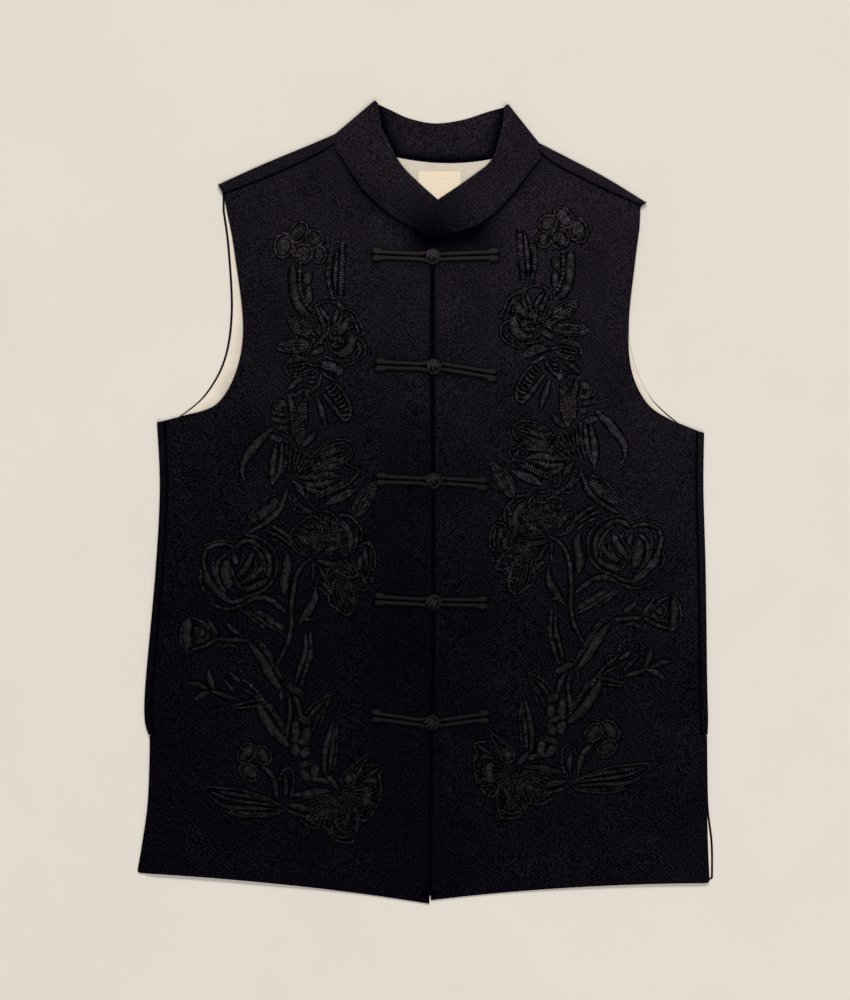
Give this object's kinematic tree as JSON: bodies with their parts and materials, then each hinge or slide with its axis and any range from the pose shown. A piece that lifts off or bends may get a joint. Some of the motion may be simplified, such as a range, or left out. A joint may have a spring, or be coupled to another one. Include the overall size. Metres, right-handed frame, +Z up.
{
  "type": "waistcoat laid flat",
  "caption": "Sleeveless wool waistcoat laid flat on its back: stand collar, forward shoulder seams, side vents, lined back, and knotted cord frogs down the centre front.",
  "frame": {"origin": "on the surface the back lies on, under the middle of the garment's outline", "axes": "+Y from the hem to the collar, +X to the wearer's left, +Z up out of the front"},
  "size_m": [0.5069, 0.7067, 0.0136],
  "materials": {
    "wool": "black wool crepe with a fine diagonal grain, matt, slight nap",
    "lining": "cream lining cloth, smooth, soft sheen",
    "label": "blank woven cream label",
    "rouleau": "black rouleau cord, soft sheen",
    "embroidery": "black padded satin-stitch embroidery thread with a low sheen"
  },
  "bodies": {
    "root": {"back": "wool", "back_lining": "lining", "neck_label": "label", "right_front": "wool", "left_front": "wool", "stand_collar": "wool", "frog_1_loop": "rouleau", "frog_1_button_cord": "rouleau", "frog_1_knot": "rouleau", "frog_2_loop": "rouleau", "frog_2_button_cord": "rouleau", "frog_2_knot": "rouleau", "frog_3_loop": "rouleau", "frog_3_button_cord": "rouleau", "frog_3_knot": "rouleau", "frog_4_loop": "rouleau", "frog_4_button_cord": "rouleau", "frog_4_knot": "rouleau", "frog_5_loop": "rouleau", "frog_5_button_cord": "rouleau", "frog_5_knot": "rouleau"}
  },
  "joints": []
}
